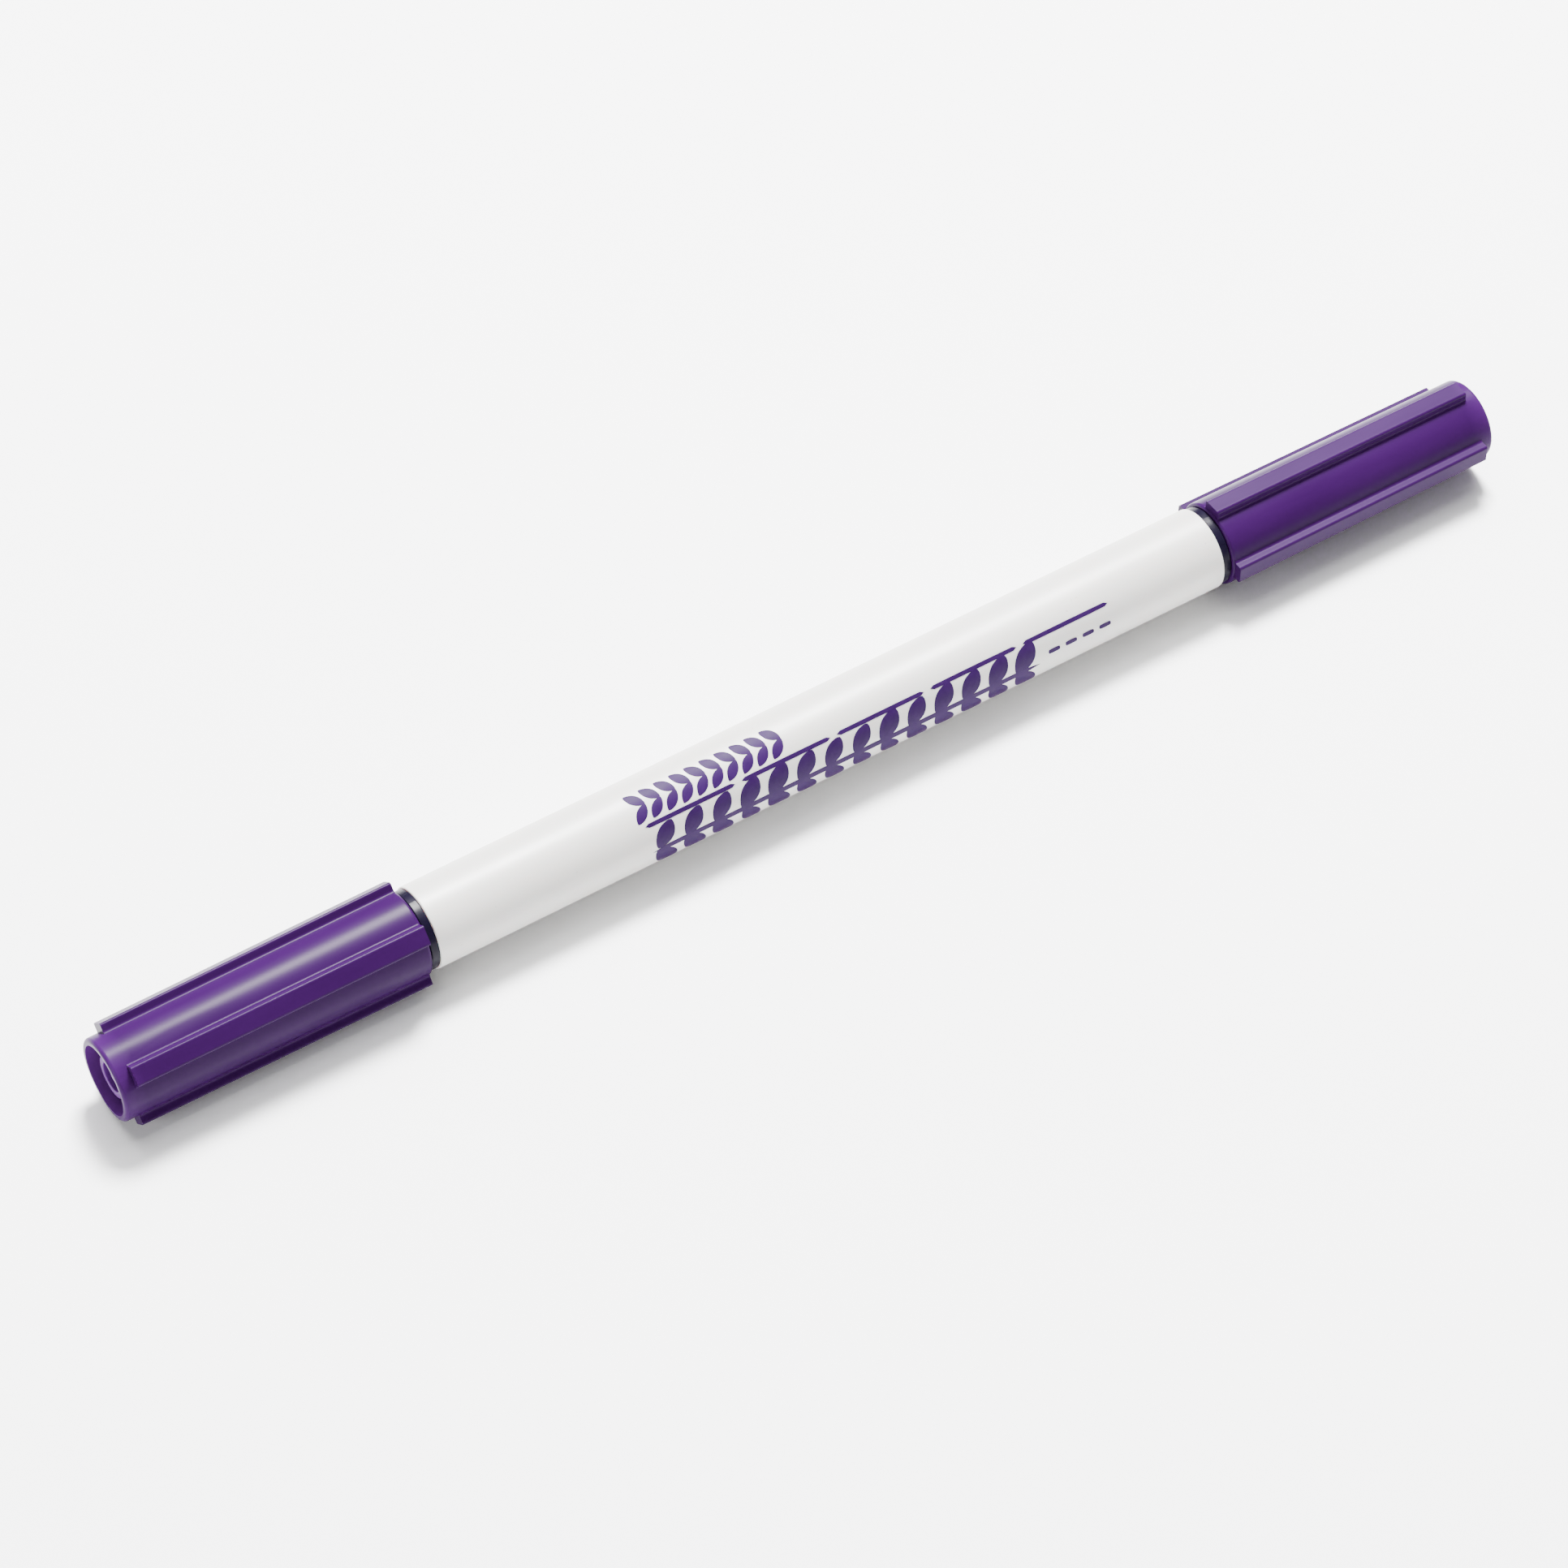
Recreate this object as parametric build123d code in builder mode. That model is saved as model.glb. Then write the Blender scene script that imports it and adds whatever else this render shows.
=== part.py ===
from build123d import *

import os
from math import cos, radians, sin, tan

# Double-ended fabric marking pen, with a ribbed cap on each end.
#
# The pen lies along X with the middle of its axis at the origin. The fine tip is at the -X end and
# the broad tip at the +X end. Each end is drawn in its own plane: u runs outward along the pen from
# the end of the barrel, and r is the distance from the axis. Sizes are in millimetres.

# Barrel
barrel_radius = 4.0
barrel_length = 85.0
barrel_wall = 0.8
barrel_edge = 0.15
fin_count = 6
fin_height = 0.44
fin_width = 0.5
fin_gap = 0.5

# Reservoir: a fibre core in a film sleeve
sleeve_thickness = 0.1
sleeve_clearance = 0.01
reservoir_clearance = 0.05
nib_bite = 2.0
bite_end_clearance = 0.2

# Sections: the holders that plug into the barrel and carry a nib each
plug_length = 10.0
plug_clearance = 0.02
plug_lead = 0.3
socket_depth = 7.0
socket_gap = 0.5
ring_inset = 0.15
ring_width = 0.85
ring_edge = 0.1
seat_inset = 0.6
seat_length = 7.45
bead_height = 0.08
bead_width = 0.9
bead_offset = 3.45
land_inset = 0.65
land_step = 0.7
land_length = 3.3
cone_length = 4.5
nose_length = 3.0
nose_wall = 0.6
nose_edge = 0.25
vent_count = 3
vent_width = 0.4
vent_depth = 0.25

# Nibs
fine_nib_radius = 0.8
fine_nib_reach = 2.8
fine_point_radius = 0.3
fine_point_angle = 15.0
broad_nose_inset = 0.55
broad_nib_reach = 4.4
chisel_thickness = 0.9
chisel_angle = 12.0
chisel_slant = 20.0
nib_clearance = 0.02
nib_chamber = 0.45
nib_tail_edge = 0.15

# Caps: a ribbed shell whose webs hold a sealing inner cap
cap_gap = 0.05
cap_length = 30.6
cap_wall = 0.78
cap_taper = 0.14
cap_mouth_edge = 0.3
cap_end_edge = 0.35
bead_clearance = 0.03
bore_lead = 0.12
rim_flare = 0.03
flare_length = 9.0
rib_count = 4
rib_height = 0.84
rib_width = 1.9
rib_foot = 0.35
rib_edge = 0.25
rib_front_setback = 0.15
rib_back_setback = 1.4
rib_embedding = 0.3
fine_cap_turn = 47.0
broad_cap_turn = 0.0
web_count = 4
web_width = 0.6
web_offset = 1.0
web_reach = 2.0
web_clearance = 0.02

# Inner caps
seal_clearance = 0.03
lip_offset = 0.8
lip_wall = 0.4
lip_length = 4.0
shank_reach = 1.0
cup_wall = 0.5
cup_floor = 0.8
stem_inset = 1.0
stem_recess = 0.65
stem_rim = 0.63
stem_edge = 0.12
dish_depth = 0.45
button_radius = 0.4
button_height = 0.25

# Radii from the barrel inward and outward, each set by what it fits
bore_radius = barrel_radius - barrel_wall
cavity_radius = bore_radius - fin_height
sleeve_radius = cavity_radius - reservoir_clearance
sleeve_bore = sleeve_radius - sleeve_thickness
core_radius = sleeve_bore - sleeve_clearance
ring_radius = barrel_radius - ring_inset
seat_radius = ring_radius - seat_inset
land_radius = seat_radius - land_inset
cap_bore = seat_radius + bead_height + bead_clearance
cap_mouth_radius = cap_bore + cap_wall
lip_radius = land_radius + seal_clearance
shank_radius = lip_radius + lip_wall
stem_radius = shank_radius - stem_inset
broad_nib_radius = land_radius - broad_nose_inset - nose_wall

# Places along each end, as distances u from the end of the barrel
reservoir_depth = plug_length - socket_depth + socket_gap
nib_tail = reservoir_depth + nib_bite
bead_middle = ring_width + bead_offset
seat_end = ring_width + seat_length
land_start = seat_end + land_step
land_end = land_start + land_length
cone_end = land_end + cone_length
nose_end = cone_end + nose_length
cap_start = ring_width + cap_gap
cap_end = cap_start + cap_length
lip_start = land_start + lip_offset
lip_end = lip_start + lip_length
shank_end = nose_end + shank_reach
stem_end = cap_end - stem_recess
stem_slope = stem_inset / (stem_end - shank_end)

FINE = -1
BROAD = 1


def place(side, u):
    """The X coordinate of a distance u outward from one end of the barrel."""
    return side * (barrel_length / 2 + u)


def lengthwise(side, turn=0.0):
    """One end's half-section plane, local axes u and r, turned by some degrees about the axis."""
    upright = Plane(origin=(place(side, 0), 0, 0), x_dir=(side, 0, 0), z_dir=(0, -side, 0))
    return upright.rotated((turn, 0, 0))


def crosswise(side, u):
    """The plane across the pen at a distance u from the end of the barrel, facing outward."""
    return Plane(origin=(place(side, u), 0, 0), x_dir=(0, 1, 0), z_dir=(side, 0, 0))


def rims(part, side, u, radius):
    """A turned part's circular edges of one radius at a distance u from the end of the barrel."""
    circles = part.edges().filter_by(GeomType.CIRCLE)
    of_radius = circles.filter_by(lambda edge: abs(edge.radius - radius) < 0.001)
    return of_radius.filter_by(lambda edge: abs(edge.arc_center.X - place(side, u)) < 0.001)


# Barrel: a straight tube with fins inside that centre the reservoir and leave air channels
fin_start = plug_length + fin_gap
with BuildPart() as barrel:
    with BuildSketch(crosswise(FINE, 0)):
        Circle(barrel_radius)
        Circle(bore_radius, mode=Mode.SUBTRACT)
    extrude(amount=-barrel_length)
    for side in (FINE, BROAD):
        fillet(rims(barrel.part, side, 0, barrel_radius), radius=barrel_edge)
    with BuildSketch(crosswise(FINE, -fin_start)):
        with PolarLocations(bore_radius, fin_count):
            Rectangle(2 * fin_height, fin_width)
        Circle(bore_radius + barrel_wall / 2, mode=Mode.INTERSECT)
        Circle(cavity_radius, mode=Mode.SUBTRACT)
    extrude(amount=2 * fin_start - barrel_length)
barrel.part.label = "barrel"

# Reservoir core: a fibre rod with a nib pushed into each end
reservoir_length = barrel_length - 2 * reservoir_depth
with BuildPart() as reservoir_core:
    with BuildSketch(crosswise(FINE, -reservoir_depth)):
        Circle(core_radius)
    extrude(amount=-reservoir_length)
    for side, nib_radius in ((FINE, fine_nib_radius), (BROAD, broad_nib_radius)):
        with BuildSketch(crosswise(side, -reservoir_depth)):
            Circle(nib_radius + nib_clearance)
        extrude(amount=-nib_bite - bite_end_clearance, mode=Mode.SUBTRACT)
reservoir_core.part.label = "reservoir_core"

# Reservoir sleeve: the film round the fibre
with BuildPart() as reservoir_sleeve:
    with BuildSketch(crosswise(FINE, -reservoir_depth)):
        Circle(sleeve_radius)
        Circle(sleeve_bore, mode=Mode.SUBTRACT)
    extrude(amount=-reservoir_length)
reservoir_sleeve.part.label = "reservoir_sleeve"


def section(side, nib_radius):
    """A nib holder: plug, visible ring, cap seat with its bead, sealing land, cone and nose."""
    plug_radius = bore_radius - plug_clearance
    nib_bore = nib_radius + nib_clearance
    chamber_radius = nib_radius + nib_chamber
    nose_radius = nib_radius + nose_wall
    bead_start = (bead_middle - bead_width / 2, seat_radius)
    bead_top = (bead_middle, seat_radius + bead_height)
    bead_stop = (bead_middle + bead_width / 2, seat_radius)
    with BuildPart() as holder:
        with BuildSketch(lengthwise(side)):
            with BuildLine():
                Polyline(
                    bead_stop,
                    (seat_end, seat_radius),
                    (land_start, land_radius),
                    (land_end, land_radius),
                    (cone_end, nose_radius),
                    (nose_end, nose_radius),
                    (nose_end, nib_bore),
                    (land_end, nib_bore),
                    (land_end, chamber_radius),
                    (socket_depth - plug_length, chamber_radius),
                    (socket_depth - plug_length, cavity_radius),
                    (-plug_length, cavity_radius),
                    (-plug_length, plug_radius - plug_lead),
                    (plug_lead - plug_length, plug_radius),
                    (0, plug_radius),
                    (0, ring_radius),
                    (ring_width, ring_radius),
                    (ring_width, seat_radius),
                    bead_start,
                )
                ThreePointArc(bead_start, bead_top, bead_stop)
            make_face()
        revolve(axis=Axis.X)
        fillet(rims(holder.part, side, nose_end, nose_radius), radius=nose_edge)
        for u in (0, ring_width):
            fillet(rims(holder.part, side, u, ring_radius), radius=ring_edge)
        with BuildSketch(crosswise(side, nose_end)):
            with PolarLocations(nib_bore, vent_count, start_angle=90):
                Rectangle(2 * vent_depth, vent_width)
        extrude(amount=land_end - nose_end, mode=Mode.SUBTRACT)
    return holder


fine_section = section(FINE, fine_nib_radius)
fine_section.part.label = "fine_section"
broad_section = section(BROAD, broad_nib_radius)
broad_section.part.label = "broad_section"

# Fine nib: a slim rod whose cone runs smoothly into a round point
fine_tip = nose_end + fine_nib_reach
point_angle = radians(fine_point_angle)
cone_tip = fine_tip - fine_point_radius * (1 - sin(point_angle))
cone_tip_radius = fine_point_radius * cos(point_angle)
cone_run = (fine_nib_radius - cone_tip_radius) / tan(point_angle)
with BuildPart() as fine_nib:
    with BuildSketch(lengthwise(FINE)):
        with BuildLine():
            Polyline(
                (cone_tip, cone_tip_radius),
                (cone_tip - cone_run, fine_nib_radius),
                (nib_tail_edge - nib_tail, fine_nib_radius),
                (-nib_tail, fine_nib_radius - nib_tail_edge),
                (-nib_tail, 0),
                (fine_tip, 0),
            )
            CenterArc((fine_tip - fine_point_radius, 0), fine_point_radius, 0, 90 - fine_point_angle)
        make_face()
    revolve(axis=Axis.X)
fine_nib.part.label = "fine_nib"

# Broad nib: a rod cut to a chisel by two flats and one slanted writing face
broad_tip = nose_end + broad_nib_reach
flat_angle = radians(chisel_angle)
slant_angle = radians(chisel_slant)
with BuildPart() as broad_nib:
    with BuildSketch(crosswise(BROAD, broad_tip)):
        Circle(broad_nib_radius)
    extrude(amount=-broad_tip - nib_tail)
    chamfer(rims(broad_nib.part, BROAD, -nib_tail, broad_nib_radius), length=nib_tail_edge)
    for hand in (1, -1):
        flat_point = (place(BROAD, broad_tip), hand * chisel_thickness / 2, 0)
        flat = Plane(origin=flat_point, z_dir=(sin(flat_angle), hand * cos(flat_angle), 0))
        split(bisect_by=flat, keep=Keep.BOTTOM)
    slant_point = (place(BROAD, broad_tip), 0, broad_nib_radius)
    slant = Plane(origin=slant_point, z_dir=(cos(slant_angle), 0, -sin(slant_angle)))
    split(bisect_by=slant, keep=Keep.BOTTOM)
broad_nib.part.label = "broad_nib"


def cup_radius(u):
    """The outside radius of an inner cap: straight along its shank, then tapered to the stem."""
    return shank_radius - stem_slope * max(0, u - shank_end)


def inner_cap(side):
    """The sealing cup: an open lip that closes on the section's land, and a dished stem end."""
    dish_radius = stem_radius - stem_rim
    dish_bottom = stem_end - dish_depth
    floor = dish_bottom - cup_floor
    with BuildPart() as cup:
        with BuildSketch(lengthwise(side)):
            with BuildLine():
                Polyline(
                    (lip_start, lip_radius),
                    (lip_start, shank_radius),
                    (shank_end, shank_radius),
                    (stem_end, stem_radius),
                    (stem_end, dish_radius),
                    (dish_bottom, dish_radius),
                    (dish_bottom, button_radius),
                    (dish_bottom + button_height, button_radius),
                    (dish_bottom + button_height, 0),
                    (floor, 0),
                    (floor, cup_radius(floor) - cup_wall),
                    (shank_end, shank_radius - cup_wall),
                    (lip_end, lip_radius),
                    close=True,
                )
            make_face()
        revolve(axis=Axis.X)
        for radius in (stem_radius, dish_radius):
            fillet(rims(cup.part, side, stem_end, radius), radius=stem_edge)
    return cup


fine_inner_cap = inner_cap(FINE)
fine_inner_cap.part.label = "fine_inner_cap"
broad_inner_cap = inner_cap(BROAD)
broad_inner_cap.part.label = "broad_inner_cap"


def cap_radius(u):
    """The outside radius of a cap's tapered body."""
    return cap_mouth_radius - cap_taper * (u - cap_start) / cap_length


def cap(side, turn):
    """A cap's shell: a tapered tube, with grip ribs outside it and webs inside it."""
    groove_start = (bead_middle - bead_width / 2, cap_bore)
    groove_bottom = (bead_middle, cap_bore + bead_height)
    groove_stop = (bead_middle + bead_width / 2, cap_bore)
    rib_start = cap_start + rib_front_setback
    rib_stop = cap_end - rib_back_setback
    web_start = lip_start + web_offset
    web_end = shank_end + web_reach
    web_root = cap_bore + cap_wall / 2
    with BuildPart() as shell:
        with BuildSketch(lengthwise(side, turn)):
            with BuildLine():
                Polyline(
                    groove_start,
                    (cap_start + bore_lead, cap_bore),
                    (cap_start, cap_bore + bore_lead),
                    (cap_start, cap_mouth_radius),
                    (cap_end, cap_radius(cap_end)),
                    (cap_end, cap_bore + rim_flare),
                    (cap_end - flare_length, cap_bore),
                    groove_stop,
                )
                ThreePointArc(groove_stop, groove_bottom, groove_start)
            make_face()
        revolve(axis=Axis.X)
        fillet(rims(shell.part, side, cap_start, cap_mouth_radius), radius=cap_mouth_edge)
        fillet(rims(shell.part, side, cap_end, cap_radius(cap_end)), radius=cap_end_edge)

        # Grip ribs: their sides meet the round body along curves, and their tops in straight lines
        for step in range(rib_count):
            with BuildSketch(lengthwise(side, turn + step * 360 / rib_count)):
                with BuildLine():
                    Polyline(
                        (rib_start, cap_radius(rib_start) - rib_embedding),
                        (rib_start, cap_radius(rib_start) + rib_height),
                        (rib_stop, cap_radius(rib_stop) + rib_height),
                        (rib_stop, cap_radius(rib_stop) - rib_embedding),
                        close=True,
                    )
                make_face()
            extrude(amount=rib_width / 2, both=True)
        long_edges = shell.part.edges().filter_by(lambda edge: edge.length > 0.99 * (rib_stop - rib_start))
        rib_tops = long_edges.filter_by(GeomType.LINE)
        rib_feet = long_edges.filter_by(GeomType.BSPLINE)
        fillet(rib_feet, radius=rib_foot)
        fillet(rib_tops, radius=rib_edge)

        # Webs between the ribs, cut to the inner cap that they hold
        for step in range(web_count):
            with BuildSketch(lengthwise(side, turn + (step + 0.5) * 360 / web_count)):
                with BuildLine():
                    Polyline(
                        (web_start, web_root),
                        (web_start, shank_radius + web_clearance),
                        (shank_end, shank_radius + web_clearance),
                        (web_end, cup_radius(web_end) + web_clearance),
                        (web_end, web_root),
                        close=True,
                    )
                make_face()
            extrude(amount=web_width / 2, both=True)
    return shell


fine_cap = cap(FINE, fine_cap_turn)
fine_cap.part.label = "fine_cap"
broad_cap = cap(BROAD, broad_cap_turn)
broad_cap.part.label = "broad_cap"

pieces = [
    barrel,
    reservoir_core,
    reservoir_sleeve,
    fine_section,
    broad_section,
    fine_nib,
    broad_nib,
    fine_inner_cap,
    broad_inner_cap,
    fine_cap,
    broad_cap,
]
os.makedirs("parts", exist_ok=True)
for piece in pieces:
    export_step(piece.part, "parts/" + piece.part.label + ".step")
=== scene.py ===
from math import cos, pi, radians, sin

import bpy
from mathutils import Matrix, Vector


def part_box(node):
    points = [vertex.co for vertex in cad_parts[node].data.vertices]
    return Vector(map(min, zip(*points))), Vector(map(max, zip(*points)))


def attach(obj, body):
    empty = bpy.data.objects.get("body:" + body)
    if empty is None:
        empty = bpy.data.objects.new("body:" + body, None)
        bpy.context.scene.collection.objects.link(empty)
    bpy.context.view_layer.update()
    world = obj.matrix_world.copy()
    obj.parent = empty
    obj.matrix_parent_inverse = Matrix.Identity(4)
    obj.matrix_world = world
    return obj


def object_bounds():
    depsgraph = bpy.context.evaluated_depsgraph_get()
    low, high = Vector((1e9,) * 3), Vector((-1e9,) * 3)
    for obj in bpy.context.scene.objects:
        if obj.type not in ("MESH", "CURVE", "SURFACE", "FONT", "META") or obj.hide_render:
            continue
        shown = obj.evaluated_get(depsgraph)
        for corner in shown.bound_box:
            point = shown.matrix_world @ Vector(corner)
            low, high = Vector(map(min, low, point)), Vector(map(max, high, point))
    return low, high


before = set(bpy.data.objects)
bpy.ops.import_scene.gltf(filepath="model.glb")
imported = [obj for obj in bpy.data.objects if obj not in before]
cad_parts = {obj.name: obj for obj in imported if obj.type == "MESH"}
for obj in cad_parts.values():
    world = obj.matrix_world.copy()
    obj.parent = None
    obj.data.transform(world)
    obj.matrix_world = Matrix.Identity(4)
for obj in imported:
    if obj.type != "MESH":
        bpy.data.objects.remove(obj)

# %% [markdown]
# # A double-ended fabric marking pen
# The pen is a white tube with a purple ribbed cap on each end. Its working parts, with every size
# and fit, come in as a fixed frame. This script gives them their finishes, prints the barrel, and
# sets the table, lights and camera. The scene is in metres, with X along the pen and Z up, and the
# sizes of finishes and printed marks are written in millimetres.

MM = 0.001
cad_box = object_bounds()
barrel_low, barrel_high = (Vector(corner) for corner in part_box("barrel"))
barrel_radius = (barrel_high.z - barrel_low.z) / 2
barrel_length = barrel_high.x - barrel_low.x
print(f"barrel {barrel_length / MM:.1f} mm long, {2 * barrel_radius / MM:.1f} mm thick")

# %% [markdown]
# ## Shader maths that reads as arithmetic
# A procedural finish is a graph of small nodes. Wired by hand, even a simple sum takes several
# lines. Wrapping a socket in a class with overloaded operators lets `1 - mask` add its own Math
# node, so the recipe for each finish stays short enough to read.

# %% A socket that knows arithmetic
class Signal:
    """One output socket of a finish's node graph."""

    def __init__(self, finish, socket):
        self.finish = finish
        self.socket = socket

    def math(self, operation, *values):
        return self.finish.node("ShaderNodeMath", {"operation": operation}, dict(enumerate(values)))

    def __add__(self, other):
        return self.math("ADD", self, other)

    def __sub__(self, other):
        return self.math("SUBTRACT", self, other)

    def __rsub__(self, other):
        return self.math("SUBTRACT", other, self)

    def __mul__(self, other):
        return self.math("MULTIPLY", self, other)

    def __gt__(self, other):
        return self.math("GREATER_THAN", self, other)

    __radd__ = __add__
    __rmul__ = __mul__


class Finish:
    """A material under construction. Its coordinates are in millimetres, fixed to the piece."""

    def __init__(self, name):
        self.material = bpy.data.materials.new(name)
        self.material.use_nodes = True
        self.tree = self.material.node_tree
        self.tree.nodes.clear()
        place = self.node("ShaderNodeTexCoord", output="Object")
        self.place = self.node(
            "ShaderNodeVectorMath", {"operation": "SCALE"}, {0: place, "Scale": 1 / MM}
        )

    def node(self, kind, settings=None, inputs=None, output=0):
        made = self.tree.nodes.new(kind)
        for name, value in (settings or {}).items():
            setattr(made, name, value)
        for key, value in (inputs or {}).items():
            if isinstance(value, Signal):
                self.tree.links.new(value.socket, made.inputs[key])
            else:
                made.inputs[key].default_value = value
        return Signal(self, made.outputs[output]) if made.outputs else None

    def noise(self, size, stretch=1.0, detail=3.0):
        """Noise from 0 to 1 with features of a size in millimetres, stretched along X."""
        scaled = self.node(
            "ShaderNodeVectorMath",
            {"operation": "MULTIPLY"},
            {0: self.place, 1: (1 / (size * stretch), 1 / size, 1 / size)},
        )
        return self.node(
            "ShaderNodeTexNoise", None, {"Vector": scaled, "Scale": 1.0, "Detail": detail}
        )

    def blend(self, factor, low, high):
        """A colour between two, each a tuple or another blend."""
        mix = self.tree.nodes.new("ShaderNodeMix")
        mix.data_type = "RGBA"
        colour_a, colour_b = (s for s in mix.inputs if s.type == "RGBA")
        self.tree.links.new(factor.socket, mix.inputs[0])
        for socket, value in ((colour_a, low), (colour_b, high)):
            if isinstance(value, Signal):
                self.tree.links.new(value.socket, socket)
            else:
                socket.default_value = (*value, 1.0)
        return Signal(self, next(s for s in mix.outputs if s.type == "RGBA"))

    def bump(self, height, depth):
        """A normal from a height signal, where 1 stands for a depth in millimetres."""
        return self.node(
            "ShaderNodeBump", None, {"Height": height, "Distance": depth * MM, "Strength": 1.0}
        )

    def surface(self, colour, roughness, normal=None, **constants):
        """Ends the graph in one Principled shader and returns the material."""
        inputs = {"Base Color": colour, "Roughness": roughness}
        if normal:
            inputs["Normal"] = normal
        inputs.update({name.replace("_", " "): value for name, value in constants.items()})
        shader = self.node("ShaderNodeBsdfPrincipled", None, inputs)
        self.node("ShaderNodeOutputMaterial", None, {"Surface": shader})
        print(f"{self.material.name}: {len(self.tree.nodes)} shader nodes")
        return self.material


# %% [markdown]
# ## Moulded purple caps
# The caps are injection-moulded polypropylene. A glossy mould leaves a skin that is smooth but
# faintly rippled, and pigment swirls very slightly where the melt flowed along the ribs. Painting
# the swirl as stretched noise in the piece's own coordinates keeps it fixed to the cap when the
# cap is pulled off. Light soaks a little way into the plastic, so the thin open end and the wall
# inside it read lighter than the body. A paler purple painted there is painted light, a painted
# glow that stands in for that light.

# %% Cap purple
PURPLE_DEEP = (0.0160, 0.0018, 0.0320)
PURPLE_LIGHT = (0.0230, 0.0034, 0.0445)
# Painted glow: the paler purple that the ends and the hollow are blended toward
PURPLE_PAINTED_GLOW = (0.085, 0.018, 0.150)
PURPLE_GLOSS = 0.25
INNER_GLOSS = 0.30
PLASTIC_IOR = 1.49
SHEEN_LEVEL = 0.05
RIPPLE_DEPTH = 0.004
# In millimetres: how far the painted glow reaches in from an end, and the hollow's radius
END_BAND = 2.2
HOLLOW_RADIUS = 3.4
END_PAINTED_GLOW = 0.2
HOLLOW_PAINTED_GLOW = 0.75
pen_half_length = max(abs(cad_box[0][0]), abs(cad_box[1][0])) / MM


def moulded_purple(name, gloss):
    finish = Finish(name)
    along, across, up = (
        finish.node("ShaderNodeSeparateXYZ", None, {0: finish.place}, axis) for axis in "XYZ"
    )
    end_depth = pen_half_length - along.math("ABSOLUTE", along)
    near_end = 1 - end_depth.math("MINIMUM", end_depth * (1 / END_BAND), 1.0)
    off_axis = along.math("SQRT", across * across + up * up)
    inside = off_axis.math("LESS_THAN", off_axis, HOLLOW_RADIUS)
    hollow = inside * (1 - (end_depth > 2 * END_BAND))
    flow = finish.noise(1.6, stretch=6.0)
    ripple = finish.noise(2.2, stretch=4.0, detail=1.0)
    grain = finish.noise(0.07, detail=1.0)
    colour = finish.blend(flow, PURPLE_DEEP, PURPLE_LIGHT)
    # Painted glow: the ends and the hollow are blended toward a paler purple that stands in for
    # light soaking through the plastic
    colour = finish.blend(END_PAINTED_GLOW * near_end + HOLLOW_PAINTED_GLOW * hollow, colour, PURPLE_PAINTED_GLOW)
    roughness = gloss + 0.07 * flow + 0.04 * grain
    normal = finish.bump(ripple + 0.15 * grain, RIPPLE_DEPTH)
    return finish.surface(
        colour, roughness, normal, IOR=PLASTIC_IOR, Specular_IOR_Level=SHEEN_LEVEL
    )


cap_purple = moulded_purple("cap_purple", PURPLE_GLOSS)
inner_cap_purple = moulded_purple("inner_cap_purple", INNER_GLOSS)

# %% [markdown]
# ## White extruded barrel
# The barrel is an extruded tube, so whatever marks it has run along it: very faint die lines, and
# a waxy sheen that is broad where the caps are sharp. A few dust-sized specks of darker resin keep
# the white from looking like a flat fill.

# %% Barrel white
WHITE = (0.56, 0.54, 0.51)
WHITE_COOL = (0.53, 0.525, 0.515)
SPECK = (0.30, 0.27, 0.25)
# Only the peaks of a fine noise above this count as specks, so they stay few
SPECK_CUTOFF = 0.86
SPECK_STRENGTH = 0.35
DIE_LINE_DEPTH = 0.003
# A little light enters the resin and spreads by this many metres
SOAK_SHARE = 0.15
SOAK_REACH = 0.001


def extruded_white():
    finish = Finish("barrel_white")
    die_lines = finish.noise(0.22, stretch=90.0, detail=2.0)
    cloud = finish.noise(5.0, stretch=2.0)
    speckle = finish.noise(0.35, detail=0.0) > SPECK_CUTOFF
    colour = finish.blend(cloud, WHITE, WHITE_COOL)
    colour = finish.blend(SPECK_STRENGTH * speckle, colour, SPECK)
    roughness = 0.33 + 0.08 * cloud + 0.06 * die_lines
    normal = finish.bump(die_lines, DIE_LINE_DEPTH)
    return finish.surface(
        colour,
        roughness,
        normal,
        IOR=1.5,
        Subsurface_Weight=SOAK_SHARE,
        Subsurface_Scale=SOAK_REACH,
    )


barrel_white = extruded_white()

# %% [markdown]
# ## Black sections, fibre and film
# The sections are moulded in glossy black that reads a little blue. The nibs and the ink
# reservoir are bundles of fibre along X, so one recipe serves both: noise stretched very long
# gives the strands, and a slower noise decides how much ink each stretch has drawn up. The nibs
# are packed and dark. The reservoir is looser and paler, inside a thin film.

# %% Section black
BLACK_DEEP = (0.003, 0.002, 0.007)
BLACK_BLUE = (0.006, 0.004, 0.013)


def moulded_black():
    finish = Finish("section_black")
    ripple = finish.noise(0.8, stretch=2.0, detail=2.0)
    colour = finish.blend(ripple, BLACK_DEEP, BLACK_BLUE)
    roughness = 0.24 + 0.10 * ripple
    normal = finish.bump(ripple, 0.012)
    return finish.surface(colour, roughness, normal, IOR=1.52, Specular_IOR_Level=0.07)


section_black = moulded_black()


# %% Ink-soaked fibre
NIB_DRY = (0.11, 0.035, 0.20)
NIB_SOAKED = (0.030, 0.006, 0.070)
RESERVOIR_DRY = (0.62, 0.52, 0.70)
RESERVOIR_SOAKED = (0.16, 0.06, 0.28)


def inked_fibre(name, strand, dry, soaked, depth):
    """Fibre along X. The strand's thickness and the bump's depth are in millimetres."""
    finish = Finish(name)
    strands = finish.noise(strand, stretch=60.0, detail=2.0)
    soak = finish.noise(1.8, stretch=2.5)
    colour = finish.blend(soak, soaked, finish.blend(strands, soaked, dry))
    roughness = 0.72 + 0.2 * strands
    return finish.surface(colour, roughness, finish.bump(strands, depth), IOR=1.45)


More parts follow.
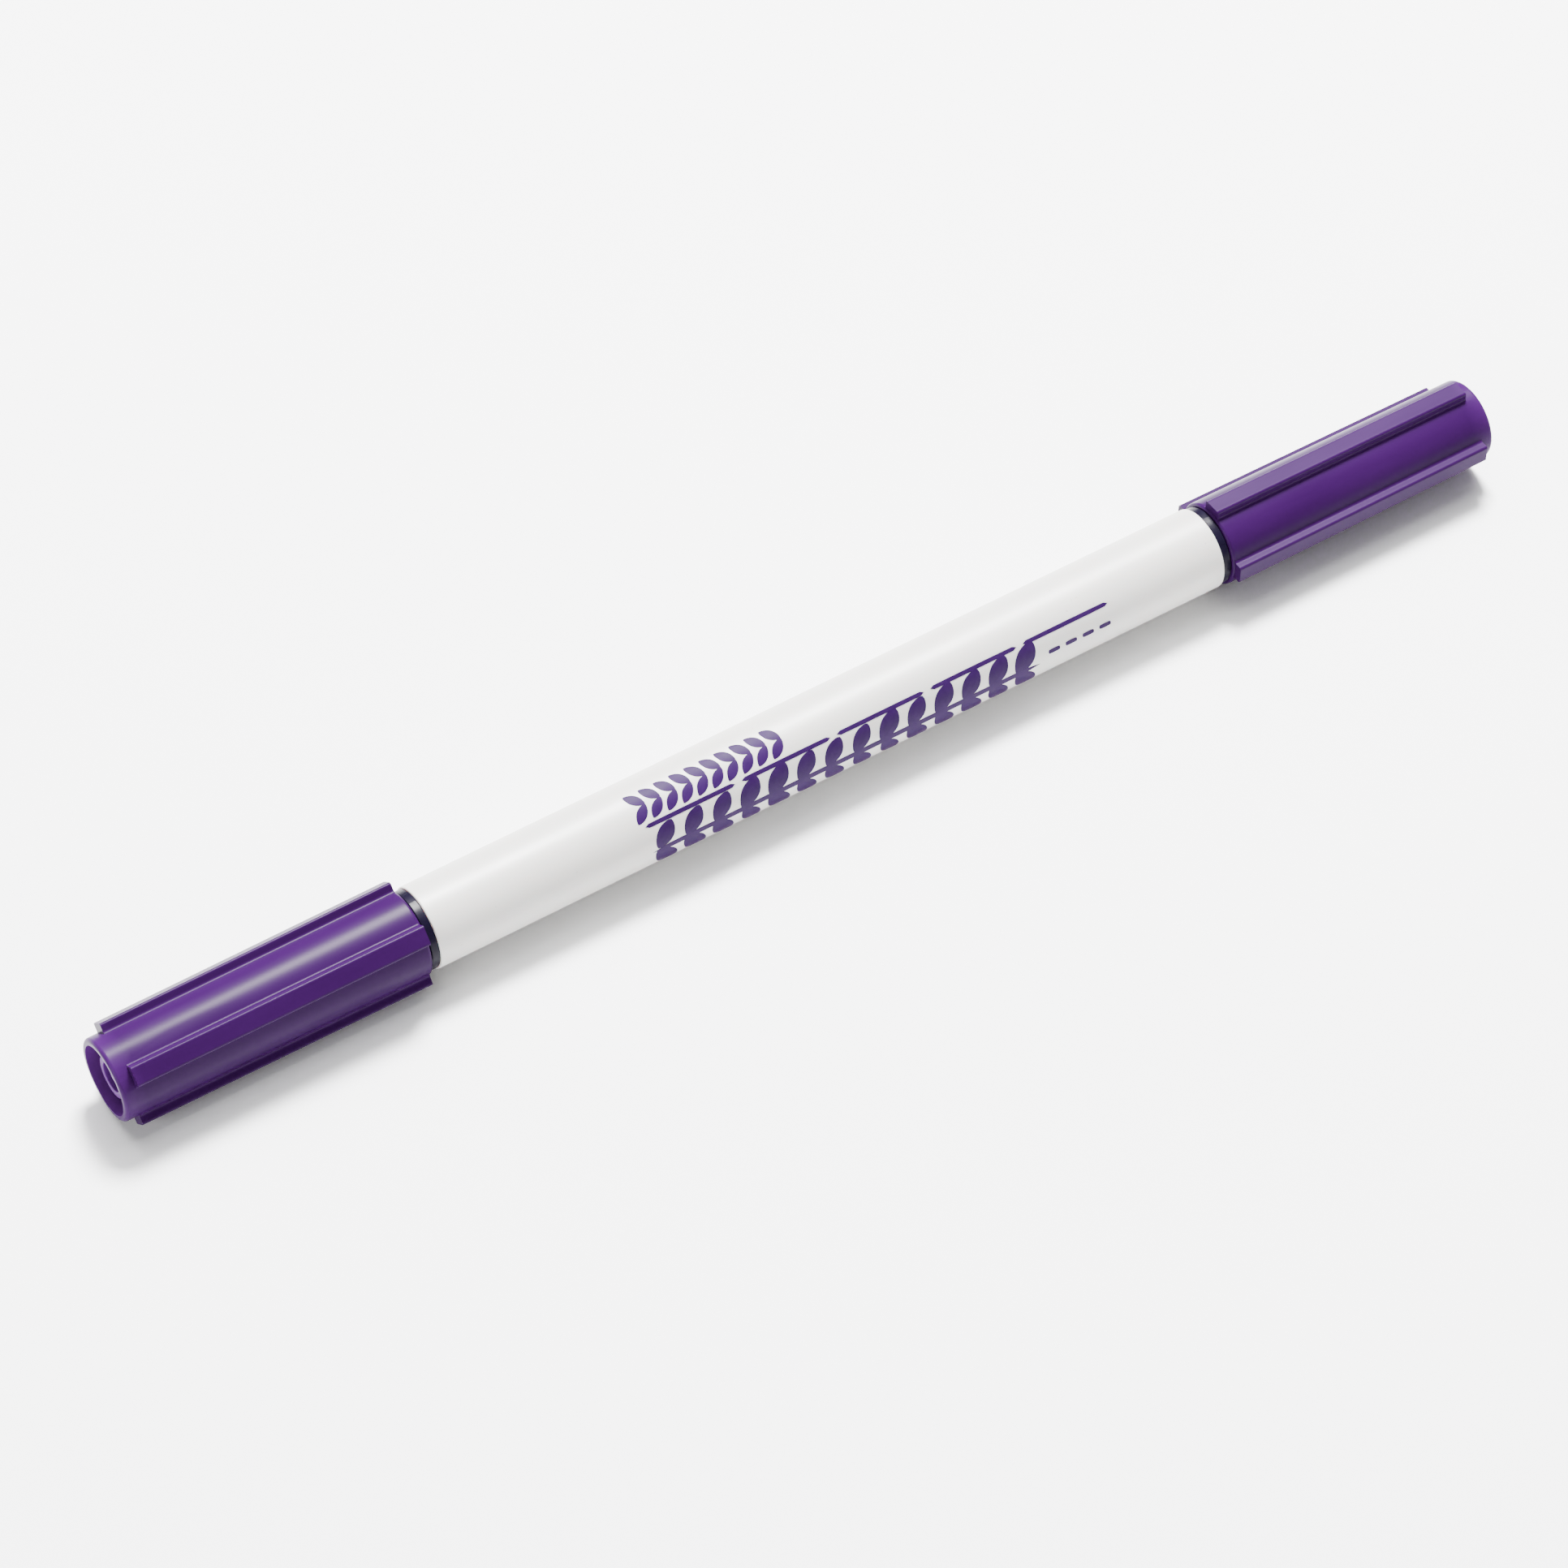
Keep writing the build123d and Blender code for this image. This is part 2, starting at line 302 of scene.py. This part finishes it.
nib_fibre = inked_fibre("nib_fibre", 0.06, NIB_DRY, NIB_SOAKED, 0.03)
reservoir_fibre = inked_fibre("reservoir_fibre", 0.12, RESERVOIR_DRY, RESERVOIR_SOAKED, 0.06)


# %% Reservoir film
FILM_SHADE = (0.78, 0.77, 0.80)
FILM_LIGHT = (0.88, 0.88, 0.90)


def wrapped_film():
    finish = Finish("film")
    wrinkle = finish.noise(0.7, stretch=4.0)
    colour = finish.blend(wrinkle, FILM_SHADE, FILM_LIGHT)
    roughness = 0.22 + 0.2 * wrinkle
    return finish.surface(colour, roughness, finish.bump(wrinkle, 0.03), IOR=1.5)


film = wrapped_film()

# %% Dress the frame's nodes
finishes = {
    "barrel": barrel_white,
    "fine_cap": cap_purple,
    "broad_cap": cap_purple,
    "fine_inner_cap": inner_cap_purple,
    "broad_inner_cap": inner_cap_purple,
    "fine_section": section_black,
    "broad_section": section_black,
    "fine_nib": nib_fibre,
    "broad_nib": nib_fibre,
    "reservoir_core": reservoir_fibre,
    "reservoir_sleeve": film,
}
for name, material in finishes.items():
    for material_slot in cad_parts[name].material_slots:
        material_slot.material = material
print(f"{len(finishes)} nodes dressed in {len(set(finishes.values()))} finishes")

# %% [markdown]
# ## Printed ink on the barrel
# A pad or screen lays a thin film of purple ink on the white tube. The print here is a plain
# quilting motif: a ruled line with gaps, two rows of petals above it that lean in a herringbone,
# a leafy vine below it and a short run of stitches. Every mark is the same idea, a pointed or
# rounded petal repeated in rows, so one Geometry Nodes tree makes them all. It lays flat petals
# out as if the tube were unrolled, then rolls them round it. Real geometry keeps the edges of the
# ink crisp at any distance.

# %% Print ink
INK_DEEP = (0.014, 0.0020, 0.036)
INK_LIGHT = (0.024, 0.0048, 0.054)


def printed_ink():
    finish = Finish("print_ink")
    mottle = finish.noise(0.9, detail=4.0)
    pinholes = finish.noise(0.09, detail=0.0)
    colour = finish.blend(mottle, INK_DEEP, INK_LIGHT)
    roughness = 0.42 + 0.15 * mottle
    normal = finish.bump(pinholes, 0.004)
    return finish.surface(colour, roughness, normal, IOR=1.5, Specular_IOR_Level=0.08)


print_ink = printed_ink()


# %% A tree builder
class Tree:
    """A Geometry Nodes group under construction, with named inputs."""

    def __init__(self, name):
        self.group = bpy.data.node_groups.new(name, "GeometryNodeTree")
        for direction in ("INPUT", "OUTPUT"):
            self.group.interface.new_socket(
                "Geometry", in_out=direction, socket_type="NodeSocketGeometry"
            )
        self.entry = self.group.nodes.new("NodeGroupInput")
        self.exit = self.group.nodes.new("NodeGroupOutput")

    def input(self, name, kind):
        self.group.interface.new_socket(name, in_out="INPUT", socket_type="NodeSocket" + kind)
        return self.entry.outputs[name]

    def node(self, kind, settings=None, inputs=None, output=0):
        made = self.group.nodes.new(kind)
        for name, value in (settings or {}).items():
            setattr(made, name, value)
        for key, value in (inputs or {}).items():
            if isinstance(value, bpy.types.NodeSocket):
                self.group.links.new(value, made.inputs[key])
            else:
                made.inputs[key].default_value = value
        return made.outputs[output]

    def math(self, operation, *values):
        return self.node("ShaderNodeMath", {"operation": operation}, dict(enumerate(values)))


# %% The petal tree
# Vertices along and across one petal, the gap below which corners merge, and the seed of the sizes
PETAL_VERTICES = (25, 4)
WELD_GAP = 0.001 * MM
SIZE_SEED = 4


def petal_tree():
    tree = Tree("rolled_petals")
    columns = tree.input("Columns", "Int")
    rows = tree.input("Rows", "Int")
    pitch_x = tree.input("Pitch Along", "Float")
    pitch_y = tree.input("Pitch Around", "Float")
    length = tree.input("Petal Length", "Float")
    width = tree.input("Petal Width", "Float")
    fullness = tree.input("Fullness", "Float")
    lean = tree.input("Lean", "Float")
    middle_x = tree.input("Middle Along", "Float")
    middle_y = tree.input("Middle Around", "Float")
    radius = tree.input("Barrel Radius", "Float")
    ink = tree.input("Ink Depth", "Float")
    variation = tree.input("Size Variation", "Float")
    material = tree.input("Material", "Material")

    # One petal: a fine grid pinched to a point at both ends
    vertices_x, vertices_y = PETAL_VERTICES
    patch = tree.node(
        "GeometryNodeMeshGrid",
        None,
        {"Size X": 1.0, "Size Y": 1.0, "Vertices X": vertices_x, "Vertices Y": vertices_y},
        "Mesh",
    )
    spot = tree.node("GeometryNodeInputPosition")
    spot_x, spot_y = (tree.node("ShaderNodeSeparateXYZ", None, {0: spot}, axis) for axis in "XY")
    wave = tree.math("SINE", tree.math("MULTIPLY", tree.math("ADD", spot_x, 0.5), pi))
    pinch = tree.math("POWER", tree.math("MAXIMUM", wave, 0.0), fullness)
    shaped_x = tree.math("MULTIPLY", spot_x, length)
    shaped_y = tree.math("MULTIPLY", tree.math("MULTIPLY", spot_y, pinch), width)
    shaped = tree.node("ShaderNodeCombineXYZ", None, {0: shaped_x, 1: shaped_y})
    petal = tree.node("GeometryNodeSetPosition", None, {"Geometry": patch, "Position": shaped})
    petal = tree.node(
        "GeometryNodeMergeByDistance", None, {"Geometry": petal, "Distance": WELD_GAP}
    )

    # Its thickness: the raised face, the walls, and the first face turned over below them
    raised = tree.node("ShaderNodeCombineXYZ", None, {2: ink})
    top = tree.node(
        "GeometryNodeExtrudeMesh",
        {"mode": "FACES"},
        {"Mesh": petal, "Offset": raised, "Offset Scale": 1.0, "Individual": False},
    )
    bottom = tree.node("GeometryNodeFlipFaces", None, {"Mesh": petal})
    joined = tree.group.nodes.new("GeometryNodeJoinGeometry")
    tree.group.links.new(top, joined.inputs[0])
    tree.group.links.new(bottom, joined.inputs[0])
    closed = tree.node(
        "GeometryNodeMergeByDistance", None, {"Geometry": joined.outputs[0], "Distance": WELD_GAP}
    )

    # Rows of petals, each row leaning the other way
    size_x = tree.math("MULTIPLY", pitch_x, tree.math("SUBTRACT", columns, 1))
    size_y = tree.math("MULTIPLY", pitch_y, tree.math("SUBTRACT", rows, 1))
    field = tree.node(
        "GeometryNodeMeshGrid",
        None,
        {"Size X": size_x, "Size Y": size_y, "Vertices X": columns, "Vertices Y": rows},
        "Mesh",
    )
    points = tree.node("GeometryNodeMeshToPoints", None, {"Mesh": field})
    index = tree.node("GeometryNodeInputIndex")
    row = tree.math("MODULO", index, rows)
    side = tree.math("SUBTRACT", 1.0, tree.math("MULTIPLY", tree.math("MODULO", row, 2.0), 2.0))
    turn = tree.node("ShaderNodeCombineXYZ", None, {2: tree.math("MULTIPLY", side, lean)})
    smallest = tree.math("SUBTRACT", 1.0, variation)
    scale = tree.node("FunctionNodeRandomValue", {"data_type": "FLOAT"}, {"Seed": SIZE_SEED}, 1)
    limits = {socket.identifier: socket for socket in scale.node.inputs}
    tree.group.links.new(smallest, limits["Min_001"])
    limits["Max_001"].default_value = 1.0
    spread = tree.node("ShaderNodeCombineXYZ", None, {0: scale, 1: scale, 2: 1.0})
    planted = tree.node(
        "GeometryNodeInstanceOnPoints",
        None,
        {"Points": points, "Instance": closed, "Rotation": turn, "Scale": spread},
    )
    flat = tree.node("GeometryNodeRealizeInstances", None, {"Geometry": planted})

    # Roll the flat layout round the barrel: distance around becomes an angle up from the front
    along, around, height = (
        tree.node("ShaderNodeSeparateXYZ", None, {0: spot}, axis) for axis in "XYZ"
    )
    angle = tree.math("DIVIDE", tree.math("ADD", around, middle_y), radius)
    sunk_radius = tree.math("SUBTRACT", radius, tree.math("MULTIPLY", ink, 0.5))
    reach = tree.math("ADD", sunk_radius, height)
    rolled_y = tree.math("MULTIPLY", tree.math("MULTIPLY", reach, tree.math("COSINE", angle)), -1.0)
    rolled_z = tree.math("MULTIPLY", reach, tree.math("SINE", angle))
    rolled_x = tree.math("ADD", along, middle_x)
    rolled_place = tree.node("ShaderNodeCombineXYZ", None, {0: rolled_x, 1: rolled_y, 2: rolled_z})
    rolled = tree.node("GeometryNodeSetPosition", None, {"Geometry": flat, "Position": rolled_place})
    inked = tree.node("GeometryNodeSetMaterial", None, {"Geometry": rolled, "Material": material})
    tree.group.links.new(inked, tree.exit.inputs[0])
    return tree.group


rolled_petals = petal_tree()
print(f"petal tree has {len(rolled_petals.nodes)} nodes")

# %% [markdown]
# The tree runs as a modifier on an empty mesh. Its inputs are set before it is first evaluated,
# and the result is turned into a plain mesh, so the piece that rides on the barrel has no live
# modifier.

# %% Print one group of marks
INK_DEPTH = 0.04 * MM


def print_marks(name, columns, rows, pitch, petal, fullness, middle, lean=0.0, variation=0.0):
    """Marks in rows on the barrel.

    Pitch and petal are (along, around) in millimetres. Middle is (millimetres along, degrees up
    from the front), and lean is in degrees.
    """
    values = {
        "Columns": columns,
        "Rows": rows,
        "Pitch Along": pitch[0] * MM,
        "Pitch Around": pitch[1] * MM,
        "Petal Length": petal[0] * MM,
        "Petal Width": petal[1] * MM,
        "Fullness": fullness,
        "Lean": radians(lean),
        "Middle Along": middle[0] * MM,
        "Middle Around": radians(middle[1]) * barrel_radius,
        "Barrel Radius": barrel_radius,
        "Ink Depth": INK_DEPTH,
        "Size Variation": variation,
        "Material": print_ink,
    }
    host = bpy.data.objects.new(name + "_host", bpy.data.meshes.new(name + "_host"))
    bpy.context.scene.collection.objects.link(host)
    modifier = host.modifiers.new("marks", "NODES")
    modifier.node_group = rolled_petals
    for item in rolled_petals.interface.items_tree:
        if item.in_out == "INPUT" and item.name in values:
            modifier[item.identifier] = values[item.name]
    depsgraph = bpy.context.evaluated_depsgraph_get()
    mesh = bpy.data.meshes.new_from_object(host.evaluated_get(depsgraph))
    bpy.data.objects.remove(host)
    marks = bpy.data.objects.new(name, mesh)
    bpy.context.scene.collection.objects.link(marks)
    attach(marks, "pen_body")
    print(f"{name}: {len(mesh.polygons)} faces")


# %% Lay out the print
# A fullness near 0 squares a petal off into a bar, and one near 1 makes it a pointed leaf
BAR = 0.04
DASH = 0.12
LEAF = 0.65
PETAL = 0.7
VINE_MIDDLE = (0.5, 2.0)
print_marks("print_ruled_line", 5, 1, (10.2, 1.0), (9.5, 0.42), BAR, (4.5, 42.0))
print_marks("print_petal_block", 10, 2, (1.6, 1.5), (2.1, 1.0), PETAL, (-13.2, 70.0), lean=45.0)
print_marks(
    "print_leaf_vine", 14, 2, (3.0, 2.7), (3.6, 2.1), LEAF, VINE_MIDDLE, lean=-50.0, variation=0.2
)
print_marks("print_vine_stem", 1, 1, (1.0, 1.0), (42.0, 0.6), BAR, VINE_MIDDLE)
print_marks("print_stitches", 4, 1, (1.9, 1.0), (1.3, 0.45), DASH, (26.0, 14.0))

# %% [markdown]
# ## Table, light and camera
# The pen lies on a plain pale table. One soft box stands high behind it, a little to the right,
# so the caps catch a long bright streak near their tops and the shadow falls toward the viewer. A
# much larger canopy over it softens that shadow, and a weak box on the left lights the near cap's
# open end. A long lens from well above keeps the far cap nearly as large as the near one.

# %% Table
TABLE_PALE = (0.93, 0.93, 0.935)
TABLE_PALER = (0.94, 0.94, 0.945)
TABLE_HALF = 2.0


def pale_table():
    finish = Finish("table")
    cloud = finish.noise(60.0)
    colour = finish.blend(cloud, TABLE_PALE, TABLE_PALER)
    return finish.surface(colour, 0.75 + 0.05 * cloud)


table_top = cad_box[0][2]
corners = [
    (x * TABLE_HALF, y * TABLE_HALF, table_top) for x, y in ((-1, -1), (1, -1), (1, 1), (-1, 1))
]
table_mesh = bpy.data.meshes.new("table")
table_mesh.from_pydata(corners, [], [(0, 1, 2, 3)])
table_mesh.materials.append(pale_table())
table = bpy.data.objects.new("table", table_mesh)
bpy.context.scene.collection.objects.link(table)
print(f"table {2 * TABLE_HALF:.1f} m across, at {table_top / MM:.2f} mm")


# %% Lights
def soft_box(name, direction, distance, size, power):
    """A square area light some way off in a direction, facing the middle of the pen."""
    light = bpy.data.lights.new(name, "AREA")
    light.size = size
    light.energy = power
    holder = bpy.data.objects.new(name, light)
    holder.location = Vector(direction).normalized() * distance
    holder.rotation_euler = Vector(direction).to_track_quat("Z", "Y").to_euler()
    bpy.context.scene.collection.objects.link(holder)
    print(f"{name}: {power:.0f} W from {distance:.2f} m")


soft_box("key", (0.26, 0.31, 0.78), 0.88, 0.24, 50.0)
soft_box("canopy", (0.1, 0.35, 0.9), 1.0, 1.1, 22.0)
soft_box("fill", (-0.93, -0.2, 0.32), 1.0, 0.5, 8.0)

ROOM_LIGHT = 0.22
world = bpy.data.worlds.new("studio")
world.use_nodes = True
background = world.node_tree.nodes["Background"]
background.inputs["Color"].default_value = (1.0, 1.0, 1.0, 1.0)
background.inputs["Strength"].default_value = ROOM_LIGHT
bpy.context.scene.world = world

# %% Camera
VIEW_AZIMUTH = radians(-33.0)
VIEW_ELEVATION = radians(48.83)
VIEW_DISTANCE = 0.511
LENS = 129.9
AIM = Vector((-0.0062, -0.0034, 0.0))
toward_camera = Vector(
    (
        sin(VIEW_AZIMUTH) * cos(VIEW_ELEVATION),
        -cos(VIEW_AZIMUTH) * cos(VIEW_ELEVATION),
        sin(VIEW_ELEVATION),
    )
)
camera_data = bpy.data.cameras.new("camera")
camera_data.lens = LENS
camera_data.sensor_width = 36.0
camera_data.clip_start = 0.01
camera = bpy.data.objects.new("camera", camera_data)
camera.location = AIM + toward_camera * VIEW_DISTANCE
camera.rotation_euler = toward_camera.to_track_quat("Z", "Y").to_euler()
bpy.context.scene.collection.objects.link(camera)
bpy.context.scene.camera = camera
print(f"camera {VIEW_DISTANCE:.3f} m away, lens {LENS:.1f} mm")
